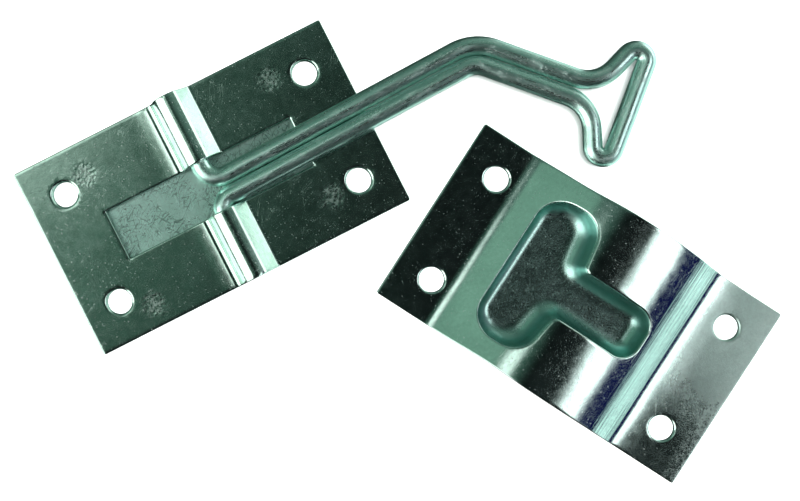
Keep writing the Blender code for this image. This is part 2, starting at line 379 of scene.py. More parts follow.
def stations(breaks):
    """Evenly stepped positions through (start, end, step) stretches."""
    out = []
    for start, end, step in breaks:
        count = max(1, round((end - start) / step))
        out += [start + (end - start) * k / count for k in range(count)]
    return out + [breaks[-1][1]]


# ---------------- hook plate
def facing(angle):
    """The upward normal of a sheet that falls at an angle, in the XZ plane."""
    return Vector((math.sin(angle), math.cos(angle)))


def falling(angle):
    """The way down along that sheet."""
    return Vector((math.cos(angle), -math.sin(angle)))


class BarrelSheet:
    """Maps a flat blank (distance along the sheet, y) onto the front plate with its barrel.

    Each half of the section is a run of arcs: (radius, turn) pairs from the crown's top down to the
    flat. A positive turn bends over the wire, a negative one bends back to the flat, and a radius of
    None is a straight stretch whose length takes the sheet down to its level.
    """

    def __init__(self):
        self.level = FRONT_LOW.z + FRONT_THICKNESS / 2
        top = Vector((0.0, HINGE.z + CROWN_RADIUS))
        steep, gentle = BARREL_LEANS
        self.halves = {
            -1.0: self.trace(top, steep, BARREL_FEET[0]),
            1.0: self.trace(top, gentle, BARREL_FEET[1]),
        }

    def trace(self, top, lean, foot_radius):
        """Pieces of one half: (start, length, point, angle, turn), with the angle as the sheet's fall."""
        fall = top.y - self.level - (CROWN_RADIUS + foot_radius) * (1 - math.cos(lean))
        pieces = []
        point, angle, start = top, 0.0, 0.0
        for radius, turn in ((CROWN_RADIUS, lean), (None, 0.0), (foot_radius, -lean)):
            if radius is None:
                length = max(fall / math.sin(lean), 0.0)
                end = point + falling(angle) * length
            else:
                length = radius * abs(turn)
                side = math.copysign(radius, turn)
                end = point - facing(angle) * side + facing(angle + turn) * side
            pieces.append((start, length, point, angle, turn))
            point, angle, start = end, angle + turn, start + length
        pieces.append((start, math.inf, point, 0.0, 0.0))
        return pieces

    def foot(self, side):
        """Where the flat starts: along the sheet and in x."""
        start, _, point, _, _ = self.halves[side][-1]
        return start, point.x

    def along(self, x):
        """The distance along the sheet of a point x on its flat part."""
        side = math.copysign(1.0, x)
        start, foot_x = self.foot(side)
        return side * (abs(x) - foot_x + start)

    def place(self, s):
        """The sheet's middle and its upward normal, both in the XZ plane."""
        side = math.copysign(1.0, s)
        s = abs(s)
        for start, length, point, angle, turn in self.halves[side]:
            if s <= start + length:
                break
        run = s - start
        if turn:
            normal = facing(angle + turn * run / length)
            reach = length / turn
            middle = point - facing(angle) * reach + normal * reach
        else:
            normal = facing(angle)
            middle = point + falling(angle) * run
        return Vector((side * middle.x, middle.y)), Vector((side * normal.x, normal.y))

    def point(self, s, y, depth):
        """A point at a depth below the sheet's upper face."""
        middle, normal = self.place(s)
        lift = FRONT_THICKNESS / 2 - depth
        return Vector((middle.x + normal.x * lift, y, middle.y + normal.y * lift))


def weld_height(x, y):
    """The rough crater that a spot weld leaves in the sheet."""
    height = 0.0
    for index, (cx, cy) in enumerate(WELDS):
        dx, dy = x - cx, y - cy
        wobble = 0.35 * noise.noise(Vector((dx * 0.5, dy * 0.5, index * 7.0)))
        r = math.hypot(dx, dy) / (WELD_RADIUS + wobble)
        if r < WELD_EDGE:
            fade = clamp((WELD_EDGE - r) / 0.3)
            rough = noise.fractal(Vector((x * 1.7, y * 1.7, index * 3.1)), 0.6, 2.0, 4)
            height += fade * (WELD_GRAIN * rough - WELD_DISH * max(0.0, 1 - r * r))
    return height


def weld_wear(co):
    """1 in the middle of a weld mark, fading unevenly to 0 at its edge."""
    best = 0.0
    for index, (cx, cy) in enumerate(WELDS):
        dx, dy = co.x - cx, co.y - cy
        wobble = 0.5 * noise.noise(Vector((dx * 0.7, dy * 0.7, index * 5.0)))
        nearness = 1.2 + wobble - math.hypot(dx, dy) / WELD_RADIUS
        best = max(best, clamp(nearness / 0.9))
    return best


def build_front_plate():
    sheet = BarrelSheet()
    holes = hole_centres(HOOK_HOLES, sheet.along)
    blank_ends = sheet.along(FRONT_LOW.x), sheet.along(FRONT_HIGH.x)
    window_ends = sheet.along(WINDOW[0]), sheet.along(WINDOW[1])
    blank = Blank(*blank_ends, FRONT_HIGH.y, SHEET_CORNER, pitch=0.45)
    window = Blank(*window_ends, WINDOW[2], WINDOW_CORNER, OUTLINE_PITCH)
    edges = [blank.loop(), window.loop()] + [circle(centre, HOLE_RADIUS) for centre in holes]
    loops = edges + [blank.loop(-d) for d in roll_steps(EDGE_ROLL)]
    loops += [window.loop(d) for d in roll_steps(WINDOW_ROLL)]
    loops += [circle(c, HOLE_RADIUS + d) for c in holes for d in roll_steps(HOLE_ROLL)]

    def edge_distances(p):
        return blank.inset(p), window.outside(p), hole_gap(p, holes)

    def free(p):
        edge, window_gap, hole = edge_distances(p)
        by_window = window_gap <= WINDOW_ROLL + WINDOW_CLEAR
        return edge > EDGE_ROLL + CLEAR and hole > HOLE_ROLL + CLEAR and not by_window

    def keep(p):
        return window.outside(p) > 0.0 and not in_hole(p, holes)

    steep_foot, gentle_foot = sheet.foot(-1.0)[0], sheet.foot(1.0)[0]
    bent_from, bent_to = -steep_foot - 3.2, gentle_foot + 0.4
    along = stations([
        (blank.low, bent_from, FLAT_STEP), (bent_from, bent_to, BARREL_STEP),
        (bent_to, blank.high, FLAT_STEP)])
    across = stations([(-blank.half_y, blank.half_y, FLAT_STEP)])
    loose = grid_points(along, across, free)
    weld_reach, weld_step = 3.9, 0.24
    near = stations([(-weld_reach, weld_reach, weld_step)])
    for cx, cy in WELDS:
        centre = Vector((sheet.along(cx), cy))
        offsets = grid_points(near, near, lambda offset: offset.length < weld_reach)
        loose += [centre + offset for offset in offsets if free(centre + offset)]
    points, faces, spans = triangulate(loops, loose, keep)

    def top(p):
        edge, window_gap, hole = edge_distances(p)
        depth = max(
            roll_depth(edge, EDGE_ROLL), roll_depth(window_gap, WINDOW_ROLL), roll_depth(hole, HOLE_ROLL))
        calm = clamp(min(edge, window_gap, hole))
        flat_x = sheet.place(p.x)[0].x
        depth -= calm * unevenness(flat_x, p.y, FRONT_WAVES)
        depth -= weld_height(flat_x, p.y)
        depth -= FOOT_LIFT * max(0.0, 1 - abs(p.x + steep_foot) / FOOT_REACH) ** 2
        return sheet.point(p.x, p.y, depth)

    bm = bmesh.new()
    upper = add_surface(bm, [top(p) for p in points], faces, flip=False)
    lower = add_surface(bm, [sheet.point(p.x, p.y, FRONT_THICKNESS) for p in points], faces, flip=True)
    close_edges(bm, upper, lower, spans[:len(edges)])
    return finish_mesh("front_sheet", bm, wear=weld_wear)


def build_back_plate():
    holes = hole_centres(HOOK_HOLES)
    blank = Blank(BACK_LOW.x, BACK_HIGH.x, BACK_HIGH.y, SHEET_CORNER, pitch=0.8)
    edges = [blank.loop()] + [circle(centre, HOLE_RADIUS) for centre in holes]
    loops = edges + [blank.loop(-d) for d in roll_steps(EDGE_ROLL)]
    loops += [circle(c, HOLE_RADIUS + d) for c in holes for d in roll_steps(EDGE_ROLL)]

    def free(p):
        return blank.inset(p) > EDGE_ROLL + CLEAR and hole_gap(p, holes) > EDGE_ROLL + CLEAR

    xs = stations([(blank.low, blank.high, BACK_STEP)])
    ys = stations([(-blank.half_y, blank.half_y, BACK_STEP)])
    points, faces, spans = triangulate(loops, grid_points(xs, ys, free), lambda p: not in_hole(p, holes))

    def top(p):
        edge, hole = blank.inset(p), hole_gap(p, holes)
        depth = max(roll_depth(edge, EDGE_ROLL), roll_depth(hole, EDGE_ROLL))
        depth += clamp(min(edge, hole)) * (BACK_SINK + unevenness(p.x, p.y, BACK_WAVES))
        return Vector((p.x, p.y, BACK_HIGH.z - depth))

    bm = bmesh.new()
    upper = add_surface(bm, [top(p) for p in points], faces, flip=False)
    lower = add_surface(bm, [Vector((p.x, p.y, BACK_LOW.z)) for p in points], faces, flip=True)
    close_edges(bm, upper, lower, spans[:len(edges)])
    return finish_mesh("back_sheet", bm)


# ---------------- socket plate
def arch_height(u):
    """The height and slope of the plate's upper face at a distance along the plate."""
    if u <= ARCH_POINTS[0][0] or u >= ARCH_POINTS[-1][0]:
        return SOCKET_THICKNESS, 0.0
    for (x0, z0, m0), (x1, z1, m1) in zip(ARCH_POINTS, ARCH_POINTS[1:]):
        if u <= x1:
            break
    span = x1 - x0
    t = (u - x0) / span
    height = (
        (2 * t ** 3 - 3 * t ** 2 + 1) * z0 + (t ** 3 - 2 * t ** 2 + t) * span * m0
        + (3 * t ** 2 - 2 * t ** 3) * z1 + (t ** 3 - t ** 2) * span * m1)
    slope = (
        (6 * t ** 2 - 6 * t) * (z0 - z1) / span + (3 * t ** 2 - 4 * t + 1) * m0
        + (3 * t ** 2 - 2 * t) * m1)
    return height, slope


def under_table():
    """(u, height) of the plate's lower face, a sheet's thickness below the upper one."""
    table = []
    reach = 50.0
    for u in stations([(-reach, reach, 0.1)]):
        height, slope = arch_height(u)
        size = math.hypot(1.0, slope)
        table.append((u + slope / size * SOCKET_THICKNESS, height - SOCKET_THICKNESS / size))
    return table


def interpolate(table, x):
    low, high = 0, len(table) - 1
    while high - low > 1:
        middle = (low + high) // 2
        if table[middle][0] <= x:
            low = middle
        else:
            high = middle
    (x0, y0), (x1, y1) = table[low], table[high]
    return y0 + (y1 - y0) * (x - x0) / (x1 - x0)


def pocket_corners(grow=0.0):
    """The T of the pocket, grown outwards."""
    back, front, root, end = -21.6 - grow, -7.0 + grow, -4.9 + grow, 17.3 + grow
    span, stem, lobe = 19.6 + grow, 6.7 + grow, (7.25 + grow) * 0.99
    half = [(end, stem, 5.0 + grow), (root, stem, 1.8 - grow), (front, span, lobe), (back, span, lobe)]
    return half + [(x, -y, radius) for x, y, radius in reversed(half)]


def pocket_section(height, floor, wall, rim_radius, foot_radius):
    """The pocket's wall in section: (growth, height) from the rim to the floor."""
    half_turn = (math.pi / 2 - POCKET_DRAFT) / 2
    room = (height - floor) / math.cos(POCKET_DRAFT)
    scale = min(1.0, room * 0.98 / ((rim_radius + foot_radius) * math.tan(half_turn)))
    bottom = wall - math.tan(POCKET_DRAFT) * (height - floor)
    top_corner, foot_corner = (wall, height), (bottom, floor)
    outwards, inwards = (wall + 9.0, height), (bottom - 9.0, floor)
    rim = fillet(outwards, top_corner, foot_corner, rim_radius * scale, SECTION_STEPS)
    foot = fillet(top_corner, foot_corner, inwards, foot_radius * scale, SECTION_STEPS)
    return rim + spread(rim[-1], foot[0], 4) + foot


def draw_in(p):
    """The socket plate's long edges are pulled in a little beside the pocket."""
    amount, middle, length = PULL
    pull = amount * math.exp(-((p.x - middle) / length) ** 2) * (abs(p.y) / (SOCKET_SIZE[1] / 2)) ** 4
    return p.y - math.copysign(pull, p.y)


class SocketFace:
    """One face of the socket plate: the arched sheet, the pocket's wall and its floor.

    The surface gives the height along the plate. The wall is how far the pocket is grown for this face.
    """

    holes = hole_centres(SOCKET_HOLES)

    def __init__(self, surface, floor, wall, rim_radius, foot_radius, rolled):
        self.surface, self.floor, self.rolled = surface, floor, rolled
        half_x, half_y = SOCKET_SIZE[0] / 2, SOCKET_SIZE[1] / 2
        self.blank = Blank(-half_x, half_x, half_y, SHEET_CORNER, OUTLINE_PITCH)
        self.plan = loop_plan(pocket_corners(), OUTLINE_PITCH)
        self.grown = {}
        base = self.pocket_loop(0.0)
        sections = [pocket_section(surface(p.x), floor, wall, rim_radius, foot_radius) for p in base]
        self.rings = [
            [self.wall_point(base, section, index, step) for index, section in enumerate(sections)]
            for step in range(len(sections[0]))]

    def pocket_loop(self, growth):
        key = round(growth, 3)
        if key not in self.grown:
            self.grown[key] = closed_loop(pocket_corners(key), self.plan)
        return self.grown[key]

    def wall_point(self, base, section, index, step):
        """A point of the pocket's wall, lifted at the rim to the sheet that it grows into."""
        growth, height = section[step]
        plan = self.pocket_loop(growth)[index]
        near = self.surface(base[index].x)
        sunk = (near - height) / (near - self.floor)
        return Vector((plan.x, plan.y, height + (1 - sunk) * (self.surface(plan.x) - near)))

    def add_to(self, bm, flip):
        """Builds the face, and returns the vertices of the plate's edge and of the holes' edges."""
        rim = [Vector((p.x, p.y)) for p in self.rings[0]]
        near_rim = Outline(rim)
        edges = [self.blank.loop()] + [circle(centre, HOLE_RADIUS) for centre in self.holes]
        loops = edges + [rim]
        if self.rolled:
            loops += [self.blank.loop(-d) for d in roll_steps(EDGE_ROLL)]
            loops += [circle(c, HOLE_RADIUS + d) for c in self.holes for d in roll_steps(HOLE_ROLL)]

        def free(p):
            clear = self.blank.inset(p) >= EDGE_ROLL + CLEAR and hole_gap(p, self.holes) >= HOLE_ROLL + CLEAR
            return clear and not near_rim.inside(p) and near_rim.distance(p) > 0.22

        def keep(p):
            return not in_hole(p, self.holes) and not near_rim.inside(p)

        us = stations([
            (self.blank.low, ARCH_GRID[0][0], FLAT_STEP), *ARCH_GRID,
            (ARCH_GRID[-1][1], self.blank.high, FLAT_STEP)])
        vs = stations([(-self.blank.half_y, self.blank.half_y, SOCKET_STEP)])
        points, faces, spans = triangulate(loops, grid_points(us, vs, free), keep)

        def lifted(p):
            z = self.surface(p.x)
            if self.rolled:
                edge, hole = self.blank.inset(p), hole_gap(p, self.holes)
                z -= max(roll_depth(edge, EDGE_ROLL), roll_depth(hole, HOLE_ROLL))
                z += clamp(min(edge, hole)) * near_rim.distance(p) * unevenness(p.x, p.y, SOCKET_WAVES)
            return Vector((p.x, draw_in(p), z))

        verts = add_surface(bm, [lifted(p) for p in points], faces, flip)
        foot = self.add_wall(bm, [verts[i] for i in spans[len(edges)]])
        self.add_floor(bm, foot, flip)
        return [[verts[i] for i in span] for span in spans[:len(edges)]]

    def add_wall(self, bm, rim_verts):
        previous = rim_verts
        for ring in self.rings[1:]:
            current = [bm.verts.new((p.x, draw_in(p), p.z)) for p in ring]
            bridge(bm, previous, current)
            previous = current
        return previous

    def add_floor(self, bm, foot_verts, flip):
        outline = [Vector((p.x, p.y)) for p in self.rings[-1]]
        area = Outline(outline)
        grid = grid_points(
            stations([(-22.0, 18.0, SOCKET_STEP)]), stations([(-20.0, 20.0, SOCKET_STEP)]),
            lambda p: area.inside(p) and area.distance(p) > 0.3)
        points, faces, spans = triangulate([outline], grid, area.inside)

        def lifted(p):
            waves = self.rolled * area.distance(p) * unevenness(p.x, p.y, POCKET_WAVES)
            return Vector((p.x, draw_in(p), self.floor + waves))

        verts = add_surface(bm, [lifted(p) for p in points], faces, flip)
        bridge(bm, foot_verts, [verts[i] for i in spans[0]])


def socket_edge_wear(co):
    """One short edge is paler and rougher, in blotches."""
    amount, width, softness = 0.55, 4.4, 1.6
    return amount * clamp((co.x - SOCKET_SIZE[0] / 2 + width) / softness)


def socket_matt_and_painted_shade(co):
    """1 on the pocket's walls, less on its floor, negative on one flange. The press has left these matt, and
    the pocket's walls and floor are also darkened with painted shade.
    """
    flange_from = 26.0
    if co.x > flange_from:
        return -min(1.0, (co.x - flange_from) / 4.0) * min(1.0, max(0.12, (co.y + 19.0) / 30.0))
    pocket_from, pocket_to = -23.0, 18.6
    if not pocket_from < co.x < pocket_to:
        return 0.0
    top = arch_height(co.x)[0]
    sunk = (top - co.z) / max(top - POCKET_FLOOR, 0.1)
    on_floor = clamp((sunk - 0.8) / 0.2)
    return clamp((sunk - 0.06) / 0.1) * (1 - 0.6 * on_floor)


def build_socket_plate():
    table = under_table()
    top = SocketFace(
        lambda u: arch_height(u)[0], POCKET_FLOOR, 0.0, POCKET_RIM_RADIUS, POCKET_FOOT_RADIUS, rolled=True)
    under = SocketFace(
        lambda u: interpolate(table, u), 0.0, SOCKET_THICKNESS, POCKET_UNDER_RIM_RADIUS,
        POCKET_UNDER_FOOT_RADIUS, rolled=False)
    bm = bmesh.new()
    for upper, lower in zip(top.add_to(bm, flip=False), under.add_to(bm, flip=True)):
        bridge(bm, upper, lower)
    bmesh.ops.remove_doubles(bm, verts=bm.verts, dist=0.0005)
    place = Matrix.Translation((SOCKET_CENTRE.x, SOCKET_CENTRE.y, 0.0))
    place = place @ Matrix.Rotation(SOCKET_TURN, 4, "Z")
    # The drawn attribute carries the matt finish and also the pocket's painted shade.
    return finish_mesh("socket_sheet", bm, transform=place, wear=socket_edge_wear, drawn=socket_matt_and_painted_shade)


# ---------------- wire arm
def arm_corners():
    """Corners of the wire's middle line in the arm's own plane, from one end to the other."""
    half_run = RUN_SPACING / 2
    bend = Vector((ARM_REACH, 0.0))
    along = Vector((math.cos(ARM_BEND_ANGLE), -math.sin(ARM_BEND_ANGLE)))
    across = Vector((-along.y, along.x))
    miter = half_run * math.tan(ARM_BEND_ANGLE / 2)
    pivot_shift = ARM_REACH * math.tan(ARM_SLANT)
    tip_centre = HEAD_HALF_WIDTH - WIRE_RADIUS - HEAD_HAIRPIN
    start = Vector((
        HEAD_REACH - HEAD_HAIRPIN - HEAD_HAIRPIN * math.sin(HEAD_FLARE_ANGLE),
        tip_centre + HEAD_HAIRPIN * math.cos(HEAD_FLARE_ANGLE)))
    slope = math.tan(HEAD_FLARE_ANGLE)
    flare = start.x - (start.y - half_run) / slope
    tip = start.y + (HEAD_REACH - start.x) * slope

    def head_point(forward, sideways, radius):
        place = bend + along * forward + across * sideways
        return (place.x, place.y, radius)

    def one_side(side, pivot_bend, bend_radius):
        return [
            (0.0, side * PIVOT_HALF_LENGTH, 0.0),
            (0.0, side * half_run - pivot_shift, pivot_bend),
            (ARM_REACH + side * miter, side * half_run, bend_radius),
            head_point(flare, side * half_run, HEAD_FLARE_RADIUS),
            head_point(HEAD_REACH, side * tip, HEAD_HAIRPIN),
        ]

    high_run = one_side(1, PIVOT_BEND_HIGH, BEND_OUTER)
    low_run = one_side(-1, PIVOT_BEND_LOW, BEND_INNER)
    return high_run + low_run[::-1]


def wire_path():
    """Evenly spaced points along the wire's middle line."""
    corners = arm_corners()
    path = [Vector(corners[0][:2])]
    for before, (x, y, radius), after in zip(corners, corners[1:], corners[2:]):
        corner = (before[:2], (x, y), after[:2], radius)
        bend = fillet(*corner, 40)
        gap = (bend[0] - path[-1]).length
        path += spread(path[-1], bend[0], max(1, round(gap / WIRE_PITCH)))
        path += fillet(*corner, max(6, round(path_length(bend) / WIRE_PITCH)))
    end = Vector(corners[-1][:2])
    path += spread(path[-1], end, round((end - path[-1]).length / WIRE_PITCH))
    return path + [end]


def build_wire():
    path = wire_path()
    bm = bmesh.new()
    flow = bm.verts.layers.float_vector.new("flow")
    length = 0.0
    rings = []
    count = len(path)
    for index, point in enumerate(path):
        ahead = path[min(index + 1, count - 1)]
        behind = path[max(index - 1, 0)]
        tangent = (ahead - behind).normalized()
        sideways = Vector((-tangent.y, tangent.x))
        if index:
            length += (point - path[index - 1]).length
        shrink = WIRE_END_SHRINK if index in (0, count - 1) else 1.0
        ring = []
        for step in range(WIRE_SIDES):
            angle = math.tau * step / WIRE_SIDES
            cos, sin = math.cos(angle), math.sin(angle)
            uneven = 0.012 * noise.noise(Vector((length / 6.0, cos * 1.2, sin * 1.2 + 4.0)))
            uneven += 0.005 * noise.noise(Vector((length / 1.6, cos * 2.5, sin * 2.5 + 9.0)))
            radius = WIRE_RADIUS * shrink + uneven
            vert = bm.verts.new((
                point.x + sideways.x * cos * radius, point.y + sideways.y * cos * radius, sin * radius))
            vert[flow] = Vector((length, cos * WIRE_RADIUS, sin * WIRE_RADIUS))
            ring.append(vert)
        rings.append(ring)
    for first, second in zip(rings, rings[1:]):
        bridge(bm, first, second)
    bm.faces.new(rings[0])
    bm.faces.new(rings[-1])
    place = Matrix.Translation(HINGE) @ Matrix.Rotation(-ARM_TILT, 4, "Y")
    return finish_mesh("bent_wire", bm, sharp_angle=50.0, transform=place)


# ---------------- materials
class Graph:
    """Short calls for the few node types that the materials use."""

    def __init__(self, tree):
        self.tree = tree

    def node(self, kind, **values):
        made = self.tree.nodes.new(kind)
        for key, value in values.items():
            setattr(made, key, value)
        return made

    def link(self, source, target):
        self.tree.links.new(source, target)

    def feed(self, target, value):
        if isinstance(value, bpy.types.NodeSocket):
            self.link(value, target)
        else:
            target.default_value = value

    def on(self, kind, vector, **inputs):
        """The outputs of a node that works on a vector, with its other inputs set."""
        made = self.node(kind)
        self.link(vector, made.inputs["Vector"])
        for key, value in inputs.items():
            made.inputs[key].default_value = value
        return made.outputs

    def mapped(self, vector, scale=(1, 1, 1), rotation=(0, 0, 0), location=(0, 0, 0)):
        return self.on(
            "ShaderNodeMapping", vector, Scale=scale, Rotation=rotation, Location=location)["Vector"]

    def noise(self, vector, scale, detail=3.0, roughness=0.5, distortion=0.0):
        settings = {"Scale": scale, "Detail": detail, "Roughness": roughness, "Distortion": distortion}
        return self.on("ShaderNodeTexNoise", vector, **settings)["Fac"]

    def cells(self, vector, scale):
        return self.on("ShaderNodeTexVoronoi", vector, Scale=scale)["Distance"]

    def parts(self, vector):
        return self.on("ShaderNodeSeparateXYZ", vector)

    def spread(self, value, low, high, to_low=0.0, to_high=1.0, smooth=False):
        made = self.node("ShaderNodeMapRange")
        if smooth:
            made.interpolation_type = "SMOOTHSTEP"
        self.feed(made.inputs["Value"], value)
        for name, number in zip(("From Min", "From Max", "To Min", "To Max"), (low, high, to_low, to_high)):
            made.inputs[name].default_value = number
        return made.outputs["Result"]

    def math(self, operation, a, b=0.0):
        made = self.node("ShaderNodeMath", operation=operation)
        self.feed(made.inputs[0], a)
        self.feed(made.inputs[1], b)
        return made.outputs["Value"]

    def mix(self, factor, a, b, blend="MIX"):
        made = self.node("ShaderNodeMix", data_type="RGBA", blend_type=blend)
        self.feed(made.inputs["Factor"], factor)
        self.feed(made.inputs["A"], a)
        self.feed(made.inputs["B"], b)
        return made.outputs["Result"]

    def strokes(self, vector, angle, shift, level, width):
        """Short thin lines, 1 on the line and 0 beside it, all lying about one way."""
        turned = self.mapped(vector, rotation=(0, 0, angle), location=(shift, -shift, 0))
        drawn = self.noise(self.mapped(turned, scale=(0.13, 0.9, 1.0)), 1.0, 1.0, 0.4, 0.3)
        off = self.math("ABSOLUTE", self.math("SUBTRACT", drawn, level))
        return self.spread(off, 0.4 * width, width, 1.0, 0.0)

    def attribute(self, name, output="Fac"):
        return self.node("ShaderNodeAttribute", attribute_name=name).outputs[output]

    def bump(self, height, distance, strength=1.0, normal=None):
        made = self.node("ShaderNodeBump")
        self.link(height, made.inputs["Height"])
        made.inputs["Distance"].default_value = distance
        made.inputs["Strength"].default_value = strength
        if normal is not None:
            self.link(normal, made.inputs["Normal"])
        return made.outputs["Normal"]


PALE = (0.86, 0.95, 0.92, 1.0)
WIRE_PALE = (0.94, 1.0, 0.97, 1.0)
SCRATCH_DARK = (0.08, 0.15, 0.13, 1.0)
# Painted shade: these two colours tint and darken the pocket's walls, and less its floor.
POCKET_PAINTED_SHADE_TINT = (0.60, 0.75, 0.72, 1.0)
POCKET_PAINTED_SHADE = (0.40, 0.66, 0.62, 1.0)
WHITE = (1.0, 1.0, 1.0, 1.0)
SPECKS = 0.5
RUBBED = 0.40  # what a pale mark adds to the roughness
PATCH_ROUGH = 0.26  # what the press adds to the roughness
HAIR = 0.006 * MM  # how deep a hair scratch and the plating's slow waves are
CRUST = 0.02 * MM  # how high specks and worn spots stand
SCRATCH_SETS = ((0.5, 11.0), (2.1, 47.0), (-0.4, 83.0))  # angle and shift
SCUFF_SETS = ((1.1, 5.0), (-0.7, 29.0), (2.6, 53.0), (0.2, 71.0), (1.8, 90.0))


def new_material(name):
    material = bpy.data.materials.new(name)
    material.use_nodes = True
    return material, Graph(material.node_tree), material.node_tree.nodes["Principled BSDF"]


def coat(g, shader, colour, rough, normal):
    """Makes the shader a metal with this colour, roughness and bump."""
    shader.inputs["Metallic"].default_value = 1.0
    g.link(colour, shader.inputs["Base Color"])
    g.link(rough, shader.inputs["Roughness"])
    g.link(normal, shader.inputs["Normal"])


def zinc(name, light, dark, roughness, seed, scratches, grain=0.010, extra=None):
    """Bright zinc plating: two tones in drifts, fine mottling, pale specks, worn spots and hair scratches.

    The mesh's "wear" attribute (0 to 1) marks spots that are rough and pale, such as weld marks.
    """
    material, g, shader = new_material(name)
    place = g.node("ShaderNodeTexCoord").outputs["Object"]
    flat = g.mapped(place, scale=(1 / MM,) * 3, location=(seed, seed * 0.37, 0))

    drift = g.noise(flat, 0.06, 4.0, 0.55, 0.6)
    colour = g.mix(g.spread(drift, 0.35, 0.68, smooth=True), (*dark, 1.0), (*light, 1.0))
    mottle = g.noise(flat, 1.3, 5.0, 0.65)
    colour = g.mix(1.0, colour, g.spread(mottle, 0.3, 0.7, 0.90, 1.06), "MULTIPLY")

    crowding = g.spread(g.noise(flat, 0.16, 3.0, 0.5), 0.35, 0.7, -0.04, 0.04)
    dust = g.math("ADD", g.noise(flat, 2.3, 3.0, 0.75), crowding)
    dust_mask = g.spread(dust, 0.65, 0.75, 0.0, SPECKS)
    crumbs = g.cells(g.mapped(flat, rotation=(0.3, 0.2, 0.4)), 0.8)
    crumb_mask = g.spread(crumbs, 0.05, 0.14, SPECKS, 0.0)
    blotches = g.spread(g.noise(flat, 1.15, 5.0, 0.75), 0.42, 0.66, 0.0, 0.7)
    worn = g.math("MULTIPLY", g.attribute("wear"), blotches)
    marks = g.math("MAXIMUM", g.math("MAXIMUM", dust_mask, crumb_mask), worn)
    colour = g.mix(marks, colour, PALE)
    rough = g.spread(g.noise(flat, 0.5, 4.0, 0.6), 0.3, 0.7, roughness[0], roughness[1])
    rough = g.math("ADD", rough, g.math("MULTIPLY", marks, RUBBED))

    normal = g.bump(g.noise(flat, 3.2, 4.0, 0.65), grain * MM)
    normal = g.bump(g.noise(flat, 0.5, 3.0, 0.5), HAIR, 1.0, normal)
    normal = g.bump(marks, CRUST, 0.6, normal)
    for angle, shift in SCRATCH_SETS:
        scratched = g.spread(g.noise(flat, 0.11 + 0.01 * angle, 2.0, 0.5), 0.50, 0.60)
        line = g.math("MULTIPLY", g.strokes(flat, angle, shift, 0.67, 0.008), scratched)
        normal = g.bump(line, HAIR, scratches, normal)
        rough = g.math("ADD", rough, g.math("MULTIPLY", line, 0.3 * scratches))
    if extra is not None:
        colour, rough, normal = extra(g, flat, place, colour, rough, normal)
    coat(g, shader, colour, rough, normal)
    return material


def wire_zinc(name, light, dark, seed):
    """The drawn wire's plating: streaks along the wire, scuffed patches and specks.

    The mesh's "flow" attribute is the place along and round the wire, in millimetres.
    """
    material, g, shader = new_material(name)
    source = g.attribute("flow", "Vector")
    flat = g.mapped(source, location=(seed, 0, 0))
    streaked = g.mapped(source, scale=(0.045, 1.0, 1.0), location=(seed, 3, 0))

    streak = g.noise(streaked, 1.7, 5.0, 0.65)
    colour = g.mix(g.spread(streak, 0.32, 0.68), (*dark, 1.0), (*light, 1.0))
    patch = g.noise(g.mapped(source, scale=(0.16, 0.5, 0.5), location=(seed, 7, 0)), 1.0, 4.0, 0.6, 0.4)
    scuff = g.spread(patch, 0.52, 0.68, smooth=True)
    pits = g.noise(flat, 2.4, 4.0, 0.75)
    speckle = g.spread(g.math("ADD", pits, g.math("MULTIPLY", scuff, 0.07)), 0.56, 0.68, 0.0, 0.8)
    colour = g.mix(speckle, colour, WIRE_PALE)
    rough = g.math("ADD", g.spread(streak, 0.3, 0.7, 0.33, 0.24), g.math("MULTIPLY", scuff, 0.10))
    rough = g.math("ADD", rough, g.math("MULTIPLY", speckle, 0.25))

    normal = g.bump(g.noise(streaked, 2.0, 3.0, 0.55), 0.03 * MM)
    normal = g.bump(g.noise(flat, 1.4, 3.0, 0.6), HAIR, 1.0, normal)
    normal = g.bump(speckle, CRUST, 0.7, normal)
    coat(g, shader, colour, rough, normal)
    return material


def scuffs(g, flat, place, colour, rough, normal):
    """Scattered dark scratches on the back plate, which is darker towards its far end."""
    total = None
    for angle, shift in SCUFF_SETS:
        line = g.strokes(flat, angle, shift, 0.56, 0.016)
        total = line if total is None else g.math("MAXIMUM", total, line)
    total = g.math("MULTIPLY", total, g.spread(g.noise(flat, 0.15, 2.0, 0.5), 0.36, 0.48))
    colour = g.mix(g.math("MULTIPLY", total, 0.7), colour, SCRATCH_DARK)
    # Darker beyond the barrel, towards the plate's far end in +X.
    far_end_darkening = g.spread(g.parts(place)["X"], -0.001, 0.012, 1.0, 0.72, smooth=True)
    colour = g.mix(1.0, colour, far_end_darkening, "MULTIPLY")
    return colour, rough, g.bump(total, -CRUST, 1.0, normal)


